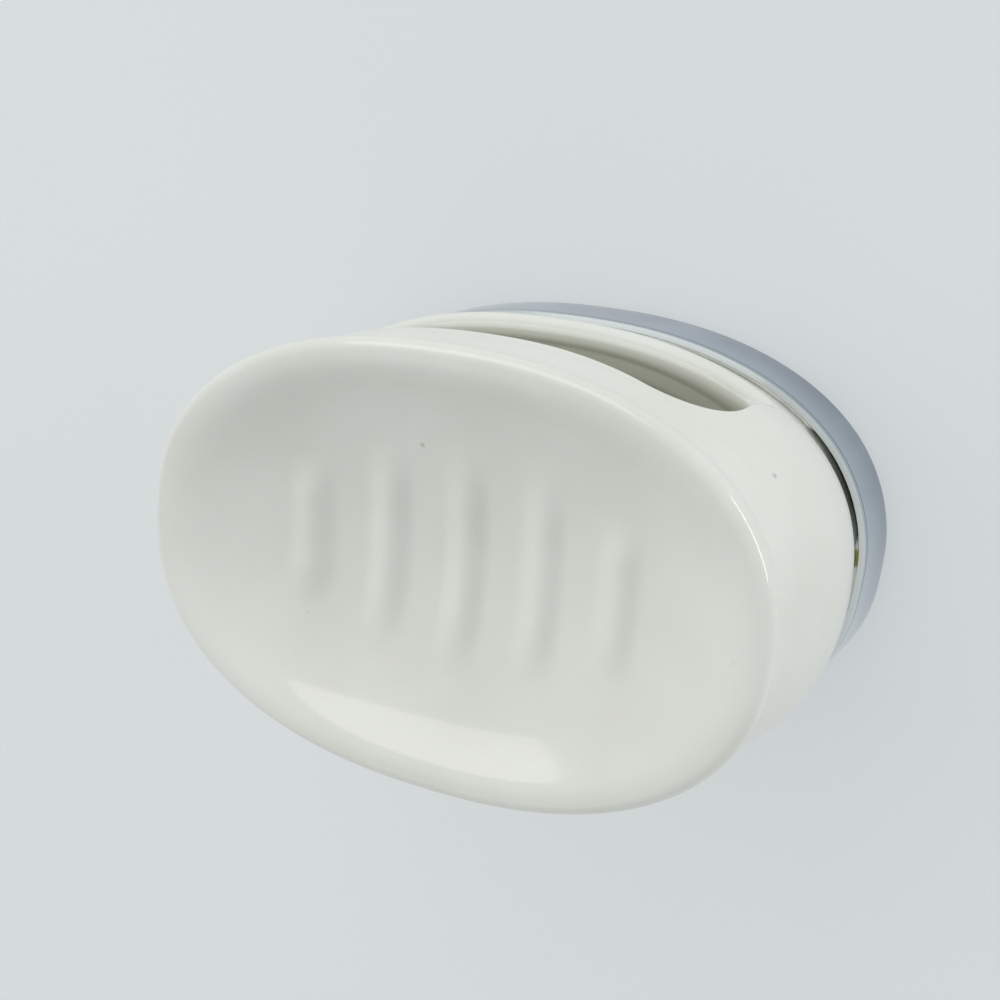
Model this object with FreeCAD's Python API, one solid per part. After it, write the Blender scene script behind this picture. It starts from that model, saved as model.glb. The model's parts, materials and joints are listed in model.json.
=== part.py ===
# Soap dish: a glazed ceramic body, dish above and slot below, glued into a polished oval base ring.
# The part stands on its rubber feet, +Z up, X along the oval, origin under the middle of the base.
import FreeCAD
import Part
import math
import os
from FreeCAD import Vector

# Overall size, in millimetres
rim_length = 127.0
rim_breadth = 83.2
overall_height = 70.0
oval_power = 2.28
overrun = 5.0

# Base: feet, ring, plate and glue
foot_diameter = 10.0
foot_projection = 0.8
foot_recess = 0.4
foot_edge_round = 0.6
foot_length_share = 0.56
foot_width_share = 0.40
ring_height = 14.4
ring_wall = 1.1
ring_flange_width = 5.0
ring_flange_thickness = 1.0
ring_bottom_round = 1.2
ring_swell = 0.3
ring_taper = 0.6
bead_height = 1.2
bead_round = 0.5
bead_stand = 0.35
plate_thickness = 2.0
plate_clearance = 0.2
glue_gap = 0.7
glue_bottom = 1.5
glue_top_gap = 3.0

# Ceramic side wall, as draw-in or swell from the rim's oval
belly_swell = 1.6
belly_height_share = 0.45
neck_draw_in = 1.5
neck_height_share = 0.86
neck_entry_draw_in = 0.5
neck_entry_share = 0.74
shoulder_swell = 0.3
shoulder_height_share = 0.20
rim_edge_height = 4.0
rim_edge_draw_in = 0.35
rim_width = 5.6
rim_outer_round = 2.3
rim_inner_round = 4.0

# Bowl of the dish and its ribs
bowl_depth = 13.5
bowl_floor_share = 0.78
bowl_wall_power = 8
rib_pitch = 16.1
rib_width = 8.0
rib_height = 1.6
rib_run_out = 3.0
rib_length_shares = (0.34, 0.48, 0.52, 0.48, 0.34)

# Slot through the body, under the dish, and the hollow under the slot's floor
slot_length = 90.0
slot_floor_height = 30.0
slot_corner_round = 13.0
slot_lip_round = 4.0
lip_depth_share = 1.3
dish_wall = 4.5
floor_wall = 5.0
side_wall = 5.0
hollow_round = 3.0

# Places worked out from the sizes above
half_length = rim_length / 2
half_width = rim_breadth / 2
ring_bottom = foot_projection
ring_top = ring_bottom + ring_height
plate_bottom = ring_bottom + ring_flange_thickness
body_bottom = plate_bottom + plate_thickness
ring_inner = -ring_taper - ring_wall
foot_offset = ring_inner - glue_gap
wall_height = overall_height - ring_top
bowl_floor = overall_height - bowl_depth
slab_bottom = slot_floor_height - lip_depth_share * slot_lip_round
bowl_half_length = half_length - rim_width
bowl_half_width = half_width - rim_width
oval_points = 24
wall_stations = 14
rim_stations = 7
bowl_stations = 8


# The oval: a superellipse, with every point worked out from its angle
def oval_wire(semi_x, semi_y, height):
    points = []
    for step in range(oval_points):
        turn = 2 * math.pi * step / oval_points
        angle = math.atan2(semi_y * math.sin(turn), semi_x * math.cos(turn))
        across = abs(math.cos(angle) / semi_x) ** oval_power
        along = abs(math.sin(angle) / semi_y) ** oval_power
        reach = (across + along) ** (-1 / oval_power)
        points.append(Vector(reach * math.cos(angle), reach * math.sin(angle), height))
    curve = Part.BSplineCurve()
    curve.interpolate(Points=points, PeriodicFlag=True)
    return Part.Wire([curve.toShape()])


def offset_oval(offset, height):
    return oval_wire(half_length + offset, half_width + offset, height)


def offset_loft(stations):
    return Part.makeLoft([offset_oval(offset, height) for height, offset in stations], True, False)


def offset_prism(offset, bottom, top):
    face = Part.Face(offset_oval(offset, bottom))
    return face.extrude(Vector(0, 0, top - bottom))


def level_edges(shape, height):
    """The edges that lie wholly at one height."""
    found = []
    for edge in shape.Edges:
        box = edge.BoundBox
        if abs(box.ZMin - height) < Part.Precision.confusion() * 1e3:
            if abs(box.ZMax - height) < Part.Precision.confusion() * 1e3:
                found.append(edge)
    return found


# Height of the bowl's floor: a gentle dish that turns up into a wall near the rim
def bowl_rise(share):
    gentle = bowl_floor_share * share ** 2
    steep = (1 - bowl_floor_share) * share ** bowl_wall_power
    return bowl_depth * (gentle + steep)


def bowl_height(x, y):
    across = abs(x / bowl_half_length) ** oval_power
    along = abs(y / bowl_half_width) ** oval_power
    return bowl_floor + bowl_rise((across + along) ** (1 / oval_power))


def wall_profile():
    """The side wall's outline from the ring up: belly, neck and flared rim, as offset and height."""
    def station(share, offset):
        return Vector(offset, 0, ring_top + share * wall_height)

    curve = Part.BSplineCurve()
    curve.interpolate([
        station(0, foot_offset),
        station(shoulder_height_share, shoulder_swell),
        station(belly_height_share, belly_swell),
        station(neck_entry_share, -neck_entry_draw_in),
        station(neck_height_share, -neck_draw_in),
        Vector(-rim_edge_draw_in, 0, overall_height - rim_edge_height),
        Vector(0, 0, overall_height - rim_outer_round),
    ])
    return curve.discretize(wall_stations)


def foot_block():
    return offset_prism(foot_offset, body_bottom, ring_top)


def rim_roll():
    """The rim's outer edge: a quarter round from the side wall up to the crest."""
    stations = []
    for step in range(rim_stations):
        turn = math.pi / 2 * step / (rim_stations - 1)
        rise = rim_outer_round * (math.sin(turn) - 1)
        stations.append((overall_height + rise, rim_outer_round * (math.cos(turn) - 1)))
    return offset_loft(stations)


def outer_wall():
    wall = offset_loft([(point.z, point.x) for point in wall_profile()])
    return wall.fuse(foot_block()).fuse(rim_roll()).removeSplitter()


def rib(number):
    """One soft rib across the bowl: it follows the floor and sinks into it at both ends."""
    count = len(rib_length_shares)
    x = (number - (count - 1) / 2) * rib_pitch
    end = rib_length_shares[number] * bowl_half_width + rib_run_out
    radius = rib_width ** 2 / (8 * rib_height) + rib_height / 2
    rings = []
    for y, stand in ((-end, -rib_height), (0, rib_height), (end, -rib_height)):
        centre = Vector(x, y, bowl_height(x, y) + stand - radius)
        rings.append(Part.Wire([Part.makeCircle(radius, centre, Vector(0, 1, 0))]))
    return Part.makeLoft(rings, True, False)


def bowl_space():
    """The space in the dish above its ribbed floor."""
    sections = [Part.Vertex(0, 0, bowl_floor)]
    for step in range(1, bowl_stations + 1):
        share = step / bowl_stations
        height = bowl_floor + bowl_rise(share)
        sections.append(oval_wire(share * bowl_half_length, share * bowl_half_width, height))
    space = Part.makeLoft(sections, True, False)
    for number in range(len(rib_length_shares)):
        space = space.cut(rib(number))
    return space


def slot_space(bottom):
    """The slot, right through the body: flat floor, upright ends, ceiling that follows the dish."""
    end = slot_length / 2
    reach = half_width + belly_swell + overrun
    shoulder = end - slot_corner_round
    slope = (bowl_height(shoulder, 0) - bowl_floor) / shoulder
    crown = bowl_floor - dish_wall
    corner = crown + slope * end
    left = Vector(-end, -reach, corner)
    right = Vector(end, -reach, corner)
    ceiling = Part.Arc(right, Vector(0, -reach, crown), left).toShape()
    left_foot = Vector(-end, -reach, bottom)
    right_foot = Vector(end, -reach, bottom)
    sides = [
        Part.makeLine(left_foot, right_foot),
        Part.makeLine(right_foot, right),
        ceiling,
        Part.makeLine(left, left_foot),
    ]
    space = Part.Face(Part.Wire(sides)).extrude(Vector(0, 2 * reach, 0))
    upper = [
        edge
        for edge in space.Edges
        if edge.BoundBox.YLength > reach and edge.BoundBox.ZMin > crown
    ]
    return space.makeFillet(slot_corner_round, upper)


def slot_floor(wall):
    """The slot's floor between its upright ends, with both long edges rolled over into a lip."""
    reach = half_length + overrun
    below = Part.makeBox(2 * reach, 2 * reach, slot_floor_height, Vector(-reach, -reach, 0))
    block = wall.common(below)
    block = block.makeFillet(slot_lip_round, level_edges(block, slot_floor_height))
    corner = Vector(-slot_length / 2, -reach, slab_bottom)
    slab = Part.makeBox(slot_length, 2 * reach, slot_floor_height - slab_bottom, corner)
    return block.common(slab)


def round_bowl_edge(dish):
    """Eases the edge where the rim's crest turns down into the bowl."""
    edge = min(level_edges(dish, overall_height), key=lambda edge: edge.BoundBox.XLength)
    return dish.makeFillet(rim_inner_round, [edge])


def foot_hollow():
    """The cast body is hollow from below, up to the underside of the slot's floor."""
    top = slot_floor_height - floor_wall
    hollow = offset_prism(foot_offset - side_wall, body_bottom - overrun, top)
    return hollow.makeFillet(hollow_round, level_edges(hollow, top))


def ceramic_body():
    wall = outer_wall()
    dish = round_bowl_edge(wall.cut(bowl_space()))
    body = dish.cut(slot_space(slab_bottom)).fuse(slot_floor(wall))
    return body.cut(foot_hollow()).removeSplitter()


def ring_hollow():
    return offset_prism(ring_inner, plate_bottom, ring_top + overrun)


def chrome_base_ring():
    shell = offset_loft([
        (ring_bottom, 0),
        (ring_bottom + ring_height / 2, ring_swell - ring_taper / 2),
        (ring_top, -ring_taper),
    ])
    shell = shell.makeFillet(ring_bottom_round, level_edges(shell, ring_bottom))
    bead = offset_prism(bead_stand - ring_taper, ring_top - bead_height, ring_top)
    bead_edges = level_edges(bead, ring_top) + level_edges(bead, ring_top - bead_height)
    shell = shell.fuse(bead.makeFillet(bead_round, bead_edges))
    opening = offset_prism(ring_inner - ring_flange_width, ring_bottom - overrun, ring_top)
    return shell.cut(ring_hollow()).cut(opening).removeSplitter()


def glue_bead():
    bottom = body_bottom + glue_bottom
    band = offset_prism(ring_inner, bottom, ring_top - glue_top_gap)
    return band.cut(foot_block())


def foot_places():
    x = foot_length_share * half_length
    y = foot_width_share * half_width
    return [(x, y), (-x, y), (-x, -y), (x, -y)]


def base_plate():
    plate = offset_prism(ring_inner - plate_clearance, plate_bottom, body_bottom)
    for x, y in foot_places():
        seat = Part.makeCylinder(foot_diameter / 2, foot_recess, Vector(x, y, plate_bottom))
        plate = plate.cut(seat)
    return plate


def rubber_foot(x, y):
    foot = Part.makeCylinder(foot_diameter / 2, plate_bottom + foot_recess, Vector(x, y, 0))
    return foot.makeFillet(foot_edge_round, level_edges(foot, 0))


def build():
    pieces = {
        "ceramic_body": ceramic_body(),
        "chrome_base_ring": chrome_base_ring(),
        "glue_bead": glue_bead(),
        "base_plate": base_plate(),
    }
    for number, (x, y) in enumerate(foot_places(), 1):
        pieces[f"rubber_foot_{number}"] = rubber_foot(x, y)
    os.makedirs("parts", exist_ok=True)
    for name, shape in pieces.items():
        shape.exportStep(f"parts/{name}.step")
        box = shape.BoundBox
        print(name, len(shape.Solids), shape.isValid(), round(shape.Volume), box.ZMin, box.ZMax)


build()
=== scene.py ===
import json
import math
import bmesh
import bpy
from mathutils import Color, Matrix, Vector

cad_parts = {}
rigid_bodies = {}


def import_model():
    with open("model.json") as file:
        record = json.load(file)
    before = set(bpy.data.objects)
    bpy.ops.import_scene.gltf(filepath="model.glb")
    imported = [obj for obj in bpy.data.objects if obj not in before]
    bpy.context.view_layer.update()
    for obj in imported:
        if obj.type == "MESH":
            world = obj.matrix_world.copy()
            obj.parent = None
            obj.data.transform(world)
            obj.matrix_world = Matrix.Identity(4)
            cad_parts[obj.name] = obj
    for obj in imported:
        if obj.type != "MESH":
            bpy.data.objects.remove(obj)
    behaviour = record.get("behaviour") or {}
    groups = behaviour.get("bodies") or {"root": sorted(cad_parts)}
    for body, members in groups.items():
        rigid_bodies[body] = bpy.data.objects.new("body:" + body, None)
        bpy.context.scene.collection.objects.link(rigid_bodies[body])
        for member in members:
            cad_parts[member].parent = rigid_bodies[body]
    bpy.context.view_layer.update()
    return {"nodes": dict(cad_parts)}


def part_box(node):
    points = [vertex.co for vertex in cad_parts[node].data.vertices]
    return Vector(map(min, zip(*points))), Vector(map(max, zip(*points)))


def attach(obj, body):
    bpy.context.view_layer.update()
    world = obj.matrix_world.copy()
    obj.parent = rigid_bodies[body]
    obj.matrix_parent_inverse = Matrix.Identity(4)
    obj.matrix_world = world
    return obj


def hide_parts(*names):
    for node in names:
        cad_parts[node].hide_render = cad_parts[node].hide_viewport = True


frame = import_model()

# Ceramic body: one slip-cast piece of earthenware under a glossy white glaze.
# Dish, swelling wall and the slot under the dish are one skin, dipped and fired as a whole.
# Its foot is glued into the base ring, and the slot's lower lip is rolled over for the fingers.
MM = 0.001
foot_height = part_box("ceramic_body")[0].z
rim_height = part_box("ceramic_body")[1].z
ring_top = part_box("chrome_base_ring")[1].z
rim_half_length = 63.5 * MM
rim_half_breadth = 41.6 * MM
oval_power = 2.28
steps_around = 240
turns = [2 * math.pi * step / steps_around for step in range(steps_around)]


def oval_point(offset, turn):
    """A point of the rim's oval, a superellipse, grown or shrunk by an offset."""
    half_x = rim_half_length + offset
    half_y = rim_half_breadth + offset
    angle = math.atan2(half_y * math.sin(turn), half_x * math.cos(turn))
    across = abs(math.cos(angle) / half_x) ** oval_power
    along = abs(math.sin(angle) / half_y) ** oval_power
    reach = (across + along) ** (-1 / oval_power)
    return Vector((reach * math.cos(angle), reach * math.sin(angle)))


def oval_row(offset, height):
    return [Vector((*oval_point(offset, turn), height)) for turn in turns]


def smooth(low, high, value):
    t = min(max((value - low) / (high - low), 0.0), 1.0)
    return t * t * (3 - 2 * t)


# The side wall from the ring up: share of its height, and swell from the rim's oval
foot_draw_in = -2.4 * MM
wall_shares = (0.0, 0.20, 0.45, 0.74, 0.86, 0.927, 0.958)
wall_swells = (foot_draw_in, 0.3 * MM, 1.6 * MM, -0.5 * MM, -1.5 * MM, -0.35 * MM, 0.0)


def wall_slope(index):
    """The outline's slope at a station: upright where the rim's roll begins."""
    low = max(index - 1, 0)
    high = index + 1
    if high == len(wall_shares):
        return 0.0
    return (wall_swells[high] - wall_swells[low]) / (wall_shares[high] - wall_shares[low])


def wall_swell(height):
    """The wall's swell at a height, on a smooth curve through its stations."""
    share = (height - ring_top) / (rim_height - ring_top)
    if share <= 0:
        return foot_draw_in
    index = 0
    while index < len(wall_shares) - 2 and share > wall_shares[index + 1]:
        index += 1
    span = wall_shares[index + 1] - wall_shares[index]
    t = min((share - wall_shares[index]) / span, 1.0)
    start = wall_swells[index] * (1 + 2 * t) * (1 - t) ** 2
    end = wall_swells[index + 1] * t ** 2 * (3 - 2 * t)
    leaving = (1 - t) ** 2 * t * span * wall_slope(index)
    arriving = t ** 2 * (1 - t) * span * wall_slope(index + 1)
    return start + end + leaving - arriving


def wall_y(x, height):
    """How far the wall stands out across the oval, at a place along it."""
    swell = wall_swell(height)
    left = 1 - (abs(x) / (rim_half_length + swell)) ** oval_power
    return (rim_half_breadth + swell) * max(left, 0.0) ** (1 / oval_power)


# At the +X end the foot is shy of the ring, so that the gap between them opens there
shy_turn = math.radians(23)
shy_half_turn = math.radians(19)
shy_draw_in = 0.8 * MM
shy_height = 7.0 * MM


def wall_row(height):
    low_share = 1 - smooth(ring_top, ring_top + shy_height, height)
    row = []
    for turn in turns:
        shy = shy_draw_in * low_share * (1 - smooth(0.0, shy_half_turn, abs(turn - shy_turn)))
        row.append(Vector((*oval_point(wall_swell(height) - shy, turn), height)))
    return row


def add_rows(mesh, rows):
    """Quads between closed rows of points that are alike in number."""
    made = [[mesh.verts.new(point) for point in row] for row in rows]
    for upper, lower in zip(made, made[1:]):
        for index in range(len(upper)):
            after = (index + 1) % len(upper)
            mesh.faces.new((upper[index], upper[after], lower[after], lower[index]))
    return made


# Side wall: rows from the foot to the start of the rim's roll, with a window left on each long side
rim_round = 2.3 * MM
wall_rows = 72
foot_step = 2.0 * MM
window_bottom = 21.5 * MM
window_top = 59.5 * MM
window_columns = 37
wall_top = rim_height - rim_round
wall_heights = [foot_height, ring_top - foot_step]
for step in range(wall_rows + 1):
    wall_heights.append(ring_top + (wall_top - ring_top) * step / wall_rows)
wall_grid = [wall_row(height) for height in wall_heights]
low_row = sum(1 for height in wall_heights if height < window_bottom)
high_row = sum(1 for height in wall_heights if height < window_top)
quarter = steps_around // 4

body_mesh = bmesh.new()
wall_verts = [[body_mesh.verts.new(point) for point in row] for row in wall_grid]
for row in range(len(wall_grid) - 1):
    for column in range(steps_around):
        column_middle = column + 1 / 2
        from_middle = min(abs(column_middle - quarter), abs(column_middle - 3 * quarter))
        if low_row <= row < high_row and from_middle < window_columns:
            continue
        after = (column + 1) % steps_around
        body_mesh.faces.new((
            wall_verts[row][column],
            wall_verts[row][after],
            wall_verts[row + 1][after],
            wall_verts[row + 1][column],
        ))

# The slot's mouth: upright ends, broad upper corners, a ceiling that follows the dish, a flat floor
slot_end = 45.0 * MM
slot_floor = 30.0 * MM
slot_crown = 52.0 * MM
slot_arch = 3.6 * MM
slot_corner = 13.0 * MM
slot_foot_round = 4.0 * MM
slot_heart = 40.0 * MM
halvings = 40


def inside_slot(x, height):
    ceiling = slot_crown + slot_arch * (x / slot_end) ** 2
    corner_x = slot_end - slot_corner
    corner_z = slot_crown + slot_arch * (corner_x / slot_end) ** 2 - slot_corner
    if x > corner_x and height > corner_z:
        return math.hypot(x - corner_x, height - corner_z) < slot_corner
    foot_x = slot_end - slot_foot_round
    foot_z = slot_floor + slot_foot_round
    if x > foot_x and height < foot_z:
        return math.hypot(x - foot_x, height - foot_z) < slot_foot_round
    return x < slot_end and slot_floor < height < ceiling


def slot_edge(turn):
    """The mouth's edge along a ray from the slot's heart, found by halving."""
    low, high = 0.0, 2 * slot_end
    for _ in range(halvings):
        middle = (low + high) / 2
        if inside_slot(abs(math.cos(turn) * middle), slot_heart + math.sin(turn) * middle):
            low = middle
        else:
            high = middle
    return Vector((math.cos(turn) * low, slot_heart + math.sin(turn) * low))


# Each mouth: rings from the window's border to the slot's edge, then the roll into the slot.
# The roll is broad along the floor, where the edge faces down, and small elsewhere.
lip_round = 5.0 * MM
edge_round = 0.8 * MM
lip_starts_facing = 0.25
lip_full_facing = 0.85
border_rings = 16
roll_steps = 10
border_flatten = 0.87
border_hurry = 0.6
edge_probe = 0.008
left_column = quarter + window_columns
right_column = quarter - window_columns
border = [(low_row, column) for column in range(left_column, right_column, -1)]
border += [(row, right_column) for row in range(low_row, high_row)]
border += [(high_row, column) for column in range(right_column, left_column)]
border += [(row, left_column) for row in range(high_row, low_row, -1)]
inner_loops = []
for side in (1, -1):
    rows = [[] for _ in range(border_rings + roll_steps + 1)]
    for row, column in border:
        start = wall_grid[row][column]
        turn = math.atan2((start.z - slot_heart) * border_flatten, start.x)
        edge = slot_edge(turn)
        along = (slot_edge(turn + edge_probe) - slot_edge(turn - edge_probe)).normalized()
        outward = Vector((along.y, -along.x))
        lip_share = smooth(lip_starts_facing, lip_full_facing, -outward.y)
        radius = edge_round + (lip_round - edge_round) * lip_share
        for ring in range(border_rings):
            t = ring / border_rings
            hurried = t * (1 + border_hurry * (1 - t))
            near = Vector((start.x, start.z)).lerp(edge + outward * radius, hurried)
            y = wall_y(*near) if ring else start.y
            rows[ring].append(Vector((near.x, side * y, near.y)))
        for step in range(roll_steps + 1):
            bend = math.pi / 2 * step / roll_steps
            near = edge + outward * radius * (1 - math.sin(bend))
            y = wall_y(*near) - radius * (1 - math.cos(bend))
            rows[border_rings + step].append(Vector((near.x, side * y, near.y)))
    add_rows(body_mesh, rows)
    inner_loops.append(rows[-1])

# The slot's own skin, straight through from one mouth to the other
slot_rows = 24
tunnel = []
for step in range(slot_rows + 1):
    tunnel.append([one.lerp(other, step / slot_rows) for one, other in zip(*inner_loops)])
add_rows(body_mesh, tunnel)

# Rim roll, crest and bowl, down to the middle of the dish
rim_width = 5.6 * MM
bowl_depth = 13.5 * MM
bowl_floor_share = 0.78
bowl_wall_power = 8
crest_blend = 3.0 * MM
roll_rows = 12
crest_rows = 8
bowl_rows = 72


def ease_under(height):
    """The lower of a height and the rim's own, with a rounded corner between them."""
    t = min(max((1 + (rim_height - height) / crest_blend) / 2, 0.0), 1.0)
    return rim_height + (height - rim_height) * t - crest_blend * t * (1 - t)


def crest_point(share, turn):
    """From the crest of the rim, at 0, to the edge of the bowl, at 1."""
    point = oval_point(-rim_round - (rim_width - rim_round) * share, turn)
    edge = oval_point(-rim_width, turn)
    steepness = 2 * bowl_floor_share + bowl_wall_power * (1 - bowl_floor_share)
    rise = bowl_depth * steepness * (point - edge).length / edge.length
    return Vector((*point, ease_under(rim_height + rise)))


def bowl_point(share, turn):
    """From the middle of the dish, at 0, to the edge of the bowl, at 1."""
    point = oval_point(-rim_width, turn) * share
    rise = bowl_floor_share * share ** 2 + (1 - bowl_floor_share) * share ** bowl_wall_power
    return Vector((*point, ease_under(rim_height - bowl_depth * (1 - rise))))


rows = []
for step in range(roll_rows + 1):
    bend = math.pi / 2 * step / roll_rows
    rows.append(oval_row(rim_round * (math.cos(bend) - 1), wall_top + rim_round * math.sin(bend)))
for step in range(1, crest_rows):
    rows.append([crest_point(step / crest_rows, turn) for turn in turns])
for step in range(bowl_rows, 0, -1):
    rows.append([bowl_point(step / bowl_rows, turn) for turn in turns])
innermost = add_rows(body_mesh, rows)[-1]
centre = body_mesh.verts.new(bowl_point(0.0, 0.0))
for index in range(steps_around):
    body_mesh.faces.new((innermost[index], innermost[(index + 1) % steps_around], centre))

# The foot's underside, on the base plate, closes the skin
weld_distance = 0.01 * MM
body_mesh.faces.new(reversed(wall_verts[0]))
loose = [vert for vert in body_mesh.verts if not vert.link_faces]
bmesh.ops.delete(body_mesh, geom=loose, context="VERTS")
bmesh.ops.remove_doubles(body_mesh, verts=body_mesh.verts, dist=weld_distance)
bmesh.ops.recalc_face_normals(body_mesh, faces=body_mesh.faces)
open_edges = [edge for edge in body_mesh.edges if len(edge.link_faces) != 2]
print("open edges of the glazed body:", len(open_edges))


def new_piece(name, mesh):
    piece = bpy.data.objects.new(name, bpy.data.meshes.new(name))
    mesh.to_mesh(piece.data)
    mesh.free()
    piece.data.shade_smooth()
    bpy.context.scene.collection.objects.link(piece)
    return piece


glazed_body = new_piece("glazed_body", body_mesh)


class Sock:
    """A node's socket that takes part in plain arithmetic."""

    def __init__(self, tree, socket):
        self.tree = tree
        self.socket = socket

    def node(self, kind, out=0, settings=None, **inputs):
        """Any other node: its settings first, then its sockets by name, or by number as i0, i1."""
        made = self.tree.nodes.new(kind)
        for name, value in (settings or {}).items():
            setattr(made, name, value)
        for name, value in inputs.items():
            key = int(name[1:]) if name[1:].isdigit() else name.replace("_", " ")
            if isinstance(value, Sock):
                self.tree.links.new(value.socket, made.inputs[key])
            else:
                made.inputs[key].default_value = value
        return Sock(self.tree, made.outputs[out])

    def math(self, operation, first, second=0.0):
        return self.node("ShaderNodeMath", settings={"operation": operation}, i0=first, i1=second)

    def __add__(self, other):
        return self.math("ADD", self, other)

    def __sub__(self, other):
        return self.math("SUBTRACT", self, other)

    def __rsub__(self, other):
        return self.math("SUBTRACT", other, self)

    def __mul__(self, other):
        return self.math("MULTIPLY", self, other)

    def __truediv__(self, other):
        return self.math("DIVIDE", self, other)

    def __pow__(self, other):
        return self.math("POWER", self, other)

    def __abs__(self):
        return self.math("ABSOLUTE", self)

    __radd__ = __add__
    __rmul__ = __mul__

    def ramp(self, low, high):
        """0 below low, 1 above high, smooth between."""
        return self.node("ShaderNodeMapRange", settings={"interpolation_type": "SMOOTHSTEP"},
                         Value=self, From_Min=low, From_Max=high)

    def noise(self, scale, detail=2.0):
        return self.node("ShaderNodeTexNoise", Vector=self, Scale=scale, Detail=detail)

    def axes(self):
        return [self.node("ShaderNodeSeparateXYZ", out=axis, Vector=self) for axis in range(3)]

    def distance(self, point):
        return self.node("ShaderNodeVectorMath", out=1, settings={"operation": "DISTANCE"},
                         i0=self, i1=point)

    def mix(self, first, second):
        """A colour between two, this socket being the share of the second."""
        colours = {}
        for key, value in (("i6", first), ("i7", second)):
            colours[key] = value if isinstance(value, Sock) else (*value, 1)
        return self.node("ShaderNodeMix", out=2, settings={"data_type": "RGBA"}, i0=self, **colours)


def new_shaping(name, sizes):
    """A geometry tree with named inputs for its sizes, and those inputs by name."""
    tree = bpy.data.node_groups.new(name, "GeometryNodeTree")
    tree.interface.new_socket("Geometry", in_out="OUTPUT", socket_type="NodeSocketGeometry")
    tree.interface.new_socket("Geometry", in_out="INPUT", socket_type="NodeSocketGeometry")
    for label in sizes:
        tree.interface.new_socket(label, in_out="INPUT", socket_type="NodeSocketFloat")
    tree.interface.new_socket("Finish", in_out="INPUT", socket_type="NodeSocketMaterial")
    source = tree.nodes.new("NodeGroupInput")
    return {socket.name: Sock(tree, socket) for socket in source.outputs if socket.name}


def run_shaping(piece, given, result, sizes, finish):
    """Ends the tree, runs it on the piece and leaves the piece with the plain mesh that it made."""
    tree = result.tree
    whole = result.node("GeometryNodeRealizeInstances", Geometry=result)
    dressed = result.node("GeometryNodeSetMaterial", Geometry=whole, Material=given["Finish"])
    tree.links.new(dressed.socket, tree.nodes.new("NodeGroupOutput").inputs[0])
    modifier = piece.modifiers.new(tree.name, "NODES")
    modifier.node_group = tree
    values = {**sizes, "Finish": finish}
    for item in tree.interface.items_tree:
        if item.in_out == "INPUT" and item.name in values:
            modifier[item.identifier] = values[item.name]
    evaluated = piece.evaluated_get(bpy.context.evaluated_depsgraph_get())
    made = bpy.data.meshes.new_from_object(evaluated)
    piece.modifiers.remove(modifier)
    piece.data = made


def srgb(red, green, blue):
    """A colour as the eye reads it, 0 to 255, in the renderer's linear values."""
    seen = Color((red / 255, green / 255, blue / 255))
    return tuple(seen.from_srgb_to_scene_linear())


def new_finish(name):
    """A material, its shader, and the place on the piece as a socket."""
    finish = bpy.data.materials.new(name)
    finish.use_nodes = True
    tree = finish.node_tree
    place = Sock(tree, tree.nodes.new("ShaderNodeTexCoord").outputs["Object"])
    return finish, tree.nodes["Principled BSDF"], place


def feed(shader, name, value):
    value.tree.links.new(value.socket, shader.inputs[name])


def feed_bump(shader, height, strength, distance):
    bump = height.node("ShaderNodeBump", Strength=strength, Distance=distance, Height=height)
    feed(shader, "Normal", bump)


# The glaze is milky white, with a faint cloud in its tone
glaze_index = 1.5
glaze_coat = 0.4
glaze_coat_roughness = 0.04
cloud_scale = 38.0
cloud_detail = 3.0
cloud_low = 0.3
cloud_high = 0.7
glaze, shader, place = new_finish("white_glaze")
shader.inputs["IOR"].default_value = glaze_index
shader.inputs["Coat Weight"].default_value = glaze_coat
shader.inputs["Coat Roughness"].default_value = glaze_coat_roughness
cloud = place.noise(cloud_scale, cloud_detail)
white = cloud.ramp(cloud_low, cloud_high).mix(srgb(234, 235, 226), srgb(240, 241, 233))

# Inside the slot the glaze is painted greyer as painted shade, which also reaches the foot just above
# the ring, with two darker lines along the mouth
slot_deep_share = 0.80
slot_mouth_share = 1.0
dish_underside = 55.8 * MM
dish_skin = 0.5 * MM
slot_dark_lines = ((0.60, 0.64, 0.70), (0.76, 0.79, 0.84))
dark_line_strength = 0.8
x, y, z = place.axes()
oval_reach = (abs(x) / rim_half_length) ** oval_power + (abs(y) / rim_half_breadth) ** oval_power
behind_mouth = 1 - oval_reach.ramp(slot_deep_share, slot_mouth_share)
under_dish = 1 - z.ramp(dish_underside, dish_underside + dish_skin)
runs = 0.0
for start, darkest, end in slot_dark_lines:
    runs = runs + oval_reach.ramp(start, darkest) - oval_reach.ramp(darkest, end)
# Painted shade inside the slot: a darker grey, with two darker lines in it
slot_painted_shade = (runs * dark_line_strength).mix(srgb(194, 195, 180), srgb(160, 161, 147))
white = (behind_mouth * under_dish).mix(white, slot_painted_shade)

# Pinholes are strewn over it in patches, and a few specks were fired in
pinhole_scale = 150.0
pinhole_core = 0.02
pinhole_reach = 0.05
pinhole_strength = 0.22
patch_low = 0.5
patch_high = 0.6
speck_places = (
    (-8.5, 21.0, 60.0),
    (-26.0, 2.0, 60.0),
    (-37.5, -27.5, 66.0),
    (-31.5, -16.0, 62.0),
    (53.5, 13.0, 65.5),
    (54.5, 24.5, 50.5),
)
speck_core = 0.1 * MM
speck_reach = 0.8 * MM
speck_strength = 0.45
pinholes = place.node("ShaderNodeTexVoronoi", Vector=place, Scale=pinhole_scale)
dust = (1 - pinholes.ramp(pinhole_core, pinhole_reach)) * cloud.ramp(patch_low, patch_high)
white = (dust * pinhole_strength).mix(white, srgb(160, 158, 142))
specks = 0.0
for speck in speck_places:
    away = place.distance(Vector(speck) * MM)
    specks = specks + (1 - away.ramp(speck_core, speck_reach))
white = (specks * speck_strength).mix(white, srgb(110, 106, 92))

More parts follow.
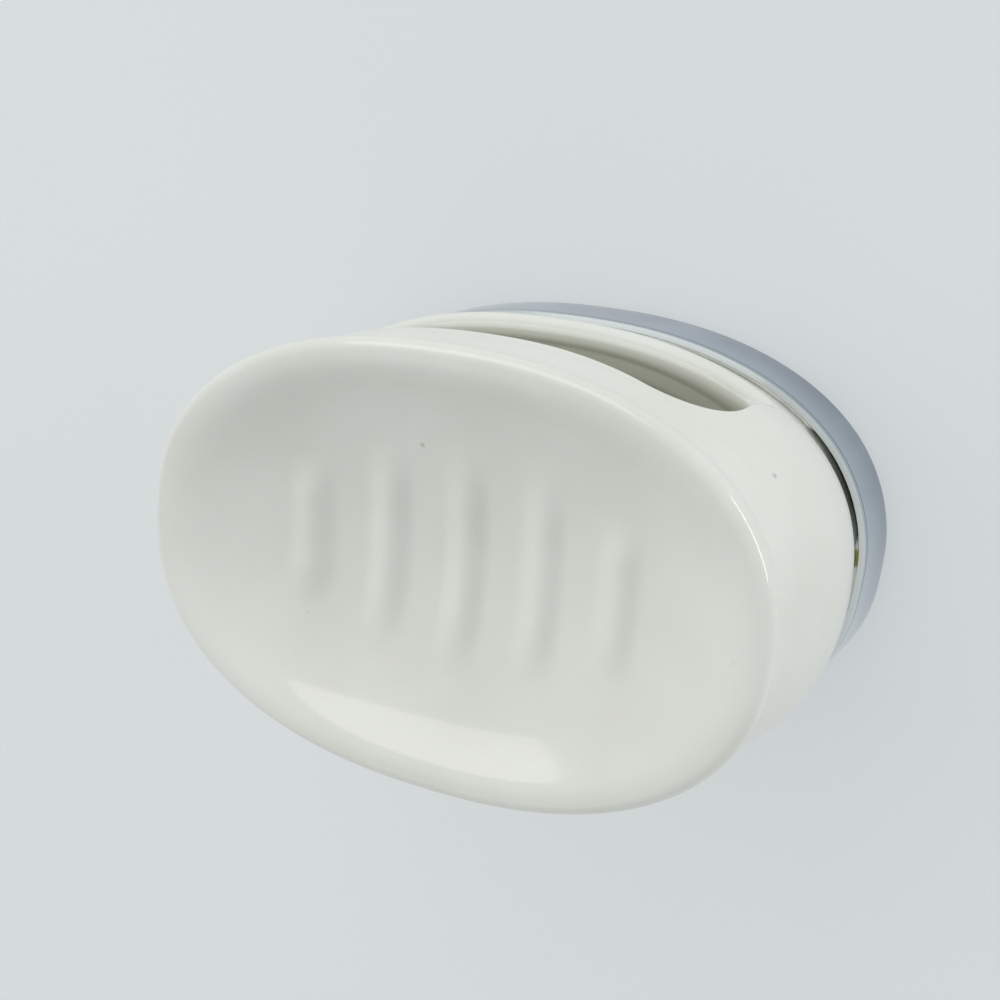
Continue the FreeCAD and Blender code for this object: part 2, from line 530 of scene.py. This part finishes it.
# Its gloss is a little uneven, and its surface ripples faintly
gloss_roughness = 0.10
gloss_spread = 0.08
gloss_scale = 900.0
ripple_scale = 55.0
ripple_detail = 1.0
ripple_strength = 0.1
ripple_depth = 1.0 * MM
feed(shader, "Base Color", white)
feed(shader, "Roughness", gloss_roughness + place.noise(gloss_scale) * gloss_spread)
feed_bump(shader, place.noise(ripple_scale, ripple_detail), ripple_strength, ripple_depth)

# Five soft ribs across the dish: one rule raises its floor, so that they fade out before the wall
rib_sizes = {
    "Rib Pitch": 16.1 * MM,
    "Rib Half Width": 5.2 * MM,
    "Rib Height": 1.4 * MM,
    "Middle Half Length": 23.0 * MM,
    "Shorter Per Step": 1.95 * MM,
    "Fade Start": 0.42,
    "Fade End": 1.02,
    "Outermost Rib": 2.0,
    "Dish Floor": rim_height - bowl_depth,
}
given = new_shaping("dish_ribs", rib_sizes)
skin = given["Geometry"]
x, y, z = skin.node("GeometryNodeInputPosition").axes()
number = skin.math("ROUND", x / given["Rib Pitch"])
number = skin.math("MAXIMUM", number, 0 - given["Outermost Rib"])
number = skin.math("MINIMUM", number, given["Outermost Rib"])
across = abs(x - number * given["Rib Pitch"]) / given["Rib Half Width"]
crest = (1 + skin.math("COSINE", math.pi * skin.math("MINIMUM", across, 1.0))) / 2
half_length = given["Middle Half Length"] - given["Shorter Per Step"] * number * number
fade = 1 - (abs(y) / half_length).ramp(given["Fade Start"], given["Fade End"])
on_dish = skin.math("GREATER_THAN", z, given["Dish Floor"] - weld_distance)
rise = given["Rib Height"] * crest * fade * on_dish
lift = skin.node("ShaderNodeCombineXYZ", Z=rise)
ribbed = skin.node("GeometryNodeSetPosition", Geometry=skin, Offset=lift)
run_shaping(glazed_body, given, ribbed, rib_sizes, glaze)
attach(glazed_body, "root")
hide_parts("ceramic_body")

# Chrome base ring: a pressed metal band, polished and plated, with its top edge rolled into a thin bead.
# It is slipped over the ceramic foot from below and held there by glue.
# Its colour holds painted reflection, darker towards the table and on the +Y side, a painted highlight
# on the bead, and painted shade in the groove under the bead.
ring_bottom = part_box("chrome_base_ring")[0].z
bead_bottom = ring_top - 1.2 * MM
groove_start = bead_bottom - 0.35 * MM
groove_darkest = bead_bottom - 0.1 * MM
groove_end = bead_bottom + 0.2 * MM
groove_shade_strength = 0.75
bead_highlight_start = ring_top - 0.3 * MM
bead_highlight_full = ring_top - 0.05 * MM
side_turn = 18.0 * MM
smear_scale = 60.0
smear_detail = 4.0
smear_low = 0.35
smear_high = 0.7
smear_strength = 0.3
polish_roughness = 0.04
smear_roughness = 0.05
grain_scale = 2400.0
grain_detail = 1.0
grain_roughness = 0.02
smear_bump = 0.08
smear_depth = 0.5 * MM
chrome, shader, place = new_finish("polished_chrome")
shader.inputs["Metallic"].default_value = 1.0
smear = place.noise(smear_scale, smear_detail)
_, y, z = place.axes()
# Painted reflection: the chrome is painted darker towards the table and on the +Y side, lighter up the
# ring and on the -Y side
up_ring = z.ramp(ring_bottom, ring_top)
painted_reflection_plus_y = up_ring.mix(srgb(136, 146, 160), srgb(180, 189, 199))
painted_reflection_minus_y = up_ring.mix(srgb(176, 185, 197), srgb(222, 229, 236))
plating_with_painted_light = y.ramp(-side_turn, side_turn).mix(painted_reflection_minus_y, painted_reflection_plus_y)
plating_with_painted_light = (smear.ramp(smear_low, smear_high) * smear_strength).mix(plating_with_painted_light, srgb(198, 206, 215))
# Painted shade: a dark line in the crease under the bead
groove_painted_shade = z.ramp(groove_start, groove_darkest) - z.ramp(bead_bottom, groove_end)
plating_with_painted_light = (groove_painted_shade * groove_shade_strength).mix(plating_with_painted_light, srgb(96, 104, 116))
# Painted highlight: the top of the bead is painted near-white
feed(shader, "Base Color", z.ramp(bead_highlight_start, bead_highlight_full).mix(plating_with_painted_light, srgb(226, 231, 236)))
grain = place.noise(grain_scale, grain_detail)
feed(shader, "Roughness", polish_roughness + smear * smear_roughness + grain * grain_roughness)
feed_bump(shader, smear, smear_bump, smear_depth)


def dress(node, finish):
    """Gives a CAD node its finish."""
    for slot in frame["nodes"][node].material_slots:
        slot.material = finish


dress("chrome_base_ring", chrome)

# Glue: a band of clear adhesive low between ring and foot, laid by hand before the ring went on.
# It lies in the gap, and its near-black colour is painted shade.
lump_scale = 160.0
lump_detail = 3.0
lump_low = 0.35
lump_high = 0.65
glue_roughness = 0.3
lump_roughness = 0.3
lump_bump = 0.4
lump_depth = 0.6 * MM
glue, shader, place = new_finish("cured_glue")
lump = place.noise(lump_scale, lump_detail)
# Painted shade: the glue is painted near-black, as the shade in the gap
feed(shader, "Base Color", lump.ramp(lump_low, lump_high).mix(srgb(16, 16, 13), srgb(30, 30, 23)))
feed(shader, "Roughness", glue_roughness + lump * lump_roughness)
feed_bump(shader, lump, lump_bump, lump_depth)
dress("glue_bead", glue)

# Squeezed-out glue: the same adhesive where it came up round the foot and was wiped level with the ring.
# One stretch at the +X end got too little, so the gap stays open there, with a yellowed drop at its end.
path_steps = 720
path_sink = 0.5 * MM
gap_middle = -2.05 * MM
strand_sides = 10
noise_middle = 0.5
glue_sizes = {
    "Glue Radius": 0.46 * MM,
    "Lump Share": 0.5,
    "Lump Scale": 260.0,
    "Lump Seed": 7.0,
    "Open Middle": math.radians(16.5),
    "Open Half": math.radians(12.0),
    "Open Edge": math.radians(2.5),
    "Open Depth": 2.6 * MM,
}
path_mesh = bmesh.new()
path = []
for step in range(path_steps):
    point = oval_point(gap_middle, 2 * math.pi * step / path_steps)
    path.append(path_mesh.verts.new((*point, ring_top - path_sink)))
for step in range(path_steps):
    path_mesh.edges.new((path[step - 1], path[step]))
squeezed_glue = new_piece("squeezed_glue", path_mesh)

drop_turn = math.radians(4.0)
drop_reach = 2.4 * MM
wiped_scale = 240.0
wiped_detail = 3.0
wiped_roughness = 0.25
wipe_scale = 300.0
wipe_roughness = 0.3
wiped, shader, place = new_finish("wiped_glue")
drop_place = Vector((*oval_point(gap_middle, drop_turn), ring_top))
away = place.distance(drop_place)
milky = place.noise(wiped_scale, wiped_detail).ramp(lump_low, lump_high)
clear = milky.mix(srgb(214, 216, 211), srgb(230, 232, 227))
feed(shader, "Base Color", away.ramp(drop_reach / 2, drop_reach).mix(srgb(136, 142, 62), clear))
feed(shader, "Roughness", wiped_roughness + place.noise(wipe_scale) * wipe_roughness)

given = new_shaping("glue_along_gap", glue_sizes)
line = given["Geometry"].node("GeometryNodeMeshToCurve", Mesh=given["Geometry"])
where = line.node("GeometryNodeInputPosition")
x, y, _ = where.axes()
off_middle = abs(line.math("ARCTAN2", y, x) - given["Open Middle"])
open_share = 1 - off_middle.ramp(given["Open Half"] - given["Open Edge"], given["Open Half"])
sink = line.node("ShaderNodeCombineXYZ", Z=0 - open_share * given["Open Depth"])
sunk = line.node("GeometryNodeSetPosition", Geometry=line, Offset=sink)
lumps = line.node("ShaderNodeTexNoise", settings={"noise_dimensions": "4D"},
                  Vector=where, W=given["Lump Seed"], Scale=given["Lump Scale"])
thickness = given["Glue Radius"] * (1 + (lumps - noise_middle) * given["Lump Share"])
profile = line.node("GeometryNodeCurvePrimitiveCircle", Resolution=strand_sides, Radius=1.0)
strand = line.node("GeometryNodeCurveToMesh", Curve=sunk, Profile_Curve=profile, Scale=thickness)
run_shaping(squeezed_glue, given, strand, glue_sizes, wiped)
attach(squeezed_glue, "root")

# Base plate: a moulded plastic plate with a fine sandy face.
# It lies on the ring's flange and closes the hollow foot from below.
sand_scale = 1500.0
sand_detail = 3.0
tone_scale = 40.0
tone_low = 0.3
tone_high = 0.7
plate_roughness = 0.45
sand_roughness = 0.2
sand_bump = 0.3
sand_depth = 0.2 * MM
plate, shader, place = new_finish("plate_plastic")
sand = place.noise(sand_scale, sand_detail)
tone = place.noise(tone_scale).ramp(tone_low, tone_high)
feed(shader, "Base Color", tone.mix(srgb(214, 216, 214), srgb(224, 226, 224)))
feed(shader, "Roughness", plate_roughness + sand * sand_roughness)
feed_bump(shader, sand, sand_bump, sand_depth)
dress("base_plate", plate)

# Rubber feet: four die-cut discs of dark rubber with scuffed undersides.
# They are stuck in shallow seats under the plate and keep the dish from sliding.
pore_scale = 1800.0
pore_detail = 4.0
scuff_scale = 220.0
scuff_detail = 3.0
scuff_low = 0.45
scuff_high = 0.75
rubber_roughness = 0.7
pore_roughness = 0.2
pore_bump = 0.4
pore_depth = 0.3 * MM
rubber, shader, place = new_finish("foot_rubber")
pores = place.noise(pore_scale, pore_detail)
scuff = place.noise(scuff_scale, scuff_detail).ramp(scuff_low, scuff_high)
feed(shader, "Base Color", scuff.mix(srgb(48, 48, 50), srgb(84, 83, 82)))
feed(shader, "Roughness", rubber_roughness + pores * pore_roughness)
feed_bump(shader, pores, pore_bump, pore_depth)
for node in frame["nodes"]:
    if node.startswith("rubber_foot"):
        dress(node, rubber)

# Table: a plain opal sheet that fills the view, lit softly from below, so that shadows on it stay pale.
# It is matt, with a faint cloud in its tone.
table_half = 3.0
table_glow = 0.47
table_roughness = 0.9
table_scale = 6.0
table_mesh = bmesh.new()
bmesh.ops.create_grid(table_mesh, x_segments=1, y_segments=1, size=table_half)
table_top = new_piece("table_top", table_mesh)
opal, shader, place = new_finish("opal_sheet")
tone = place.noise(table_scale).ramp(tone_low, tone_high)
feed(shader, "Base Color", tone.mix(srgb(150, 153, 154), srgb(153, 156, 157)))
shader.inputs["Roughness"].default_value = table_roughness
shader.inputs["Emission Color"].default_value = (*srgb(246, 251, 252), 1)
shader.inputs["Emission Strength"].default_value = table_glow
table_top.data.materials.append(opal)

# Light: a pale room all round, a broad window beyond the slot's side and a panel at each end.
# The left panel draws out the ribs and shows in no reflection, and the right one is low, under the rim.
# The eye and the polished metal see the room a little paler than it shines.
room_light = 0.555
room_seen = 0.72
room = bpy.data.worlds.new("pale_room")
room.use_nodes = True
room_paint = room.node_tree.nodes["Background"]
room_paint.inputs["Color"].default_value = (*srgb(247, 250, 251), 1)
ray = room.node_tree.nodes.new("ShaderNodeLightPath")
seen, glossy, through = (
    Sock(room.node_tree, ray.outputs[kind])
    for kind in ("Is Camera Ray", "Is Glossy Ray", "Is Transmission Ray")
)
feed(room_paint, "Strength", room_light + (seen + glossy + through) * (room_seen - room_light))
bpy.context.scene.world = room
lamp_aim = Vector((0.0, 0.0, 40.0)) * MM
window_place = (-0.8, 2.0, 1.35)
window_size = (2.2, 1.35)
window_power = 13.0
right_place = (1.8, 0.9, 0.22)
right_size = (1.4, 0.4)
right_power = 9.0
left_place = (-1.6, 0.3, 1.2)
left_size = (1.2, 1.2)
left_power = 7.5


def soft_panel(name, place, size, power):
    lamp = bpy.data.lights.new(name, "AREA")
    lamp.shape = "RECTANGLE"
    lamp.size, lamp.size_y = size
    lamp.energy = power
    panel = bpy.data.objects.new(name, lamp)
    panel.location = place
    panel.rotation_euler = (lamp_aim - Vector(place)).to_track_quat("-Z", "Y").to_euler()
    bpy.context.scene.collection.objects.link(panel)
    return panel


soft_panel("window", window_place, window_size, window_power)
soft_panel("right_panel", right_place, right_size, right_power)
left_panel = soft_panel("left_panel", left_place, left_size, left_power)
left_panel.visible_glossy = False

# Camera: the photograph's view, with the dish tipped towards the lens.
# Its place and turn come from fitting the rim, the ring and the ribs to the picture.
camera_place = Vector((129.42, 84.83, 291.82)) * MM
camera_right = Vector((0.8756, 0.0649, -0.4786))
camera_down = Vector((0.1811, -0.9627, 0.2010))
focal_pixels = 1522.0
picture_pixels = 1000.0
sensor_width = 36.0
lens = bpy.data.cameras.new("photo_view")
lens.sensor_width = sensor_width
lens.lens = sensor_width * focal_pixels / picture_pixels
camera = bpy.data.objects.new("photo_view", lens)
camera_back = camera_down.cross(camera_right)
turned = Matrix((camera_right, -camera_down, camera_back)).transposed().to_4x4()
camera.matrix_world = Matrix.Translation(camera_place) @ turned
bpy.context.scene.collection.objects.link(camera)
bpy.context.scene.camera = camera
bpy.context.scene.view_settings.view_transform = "Standard"
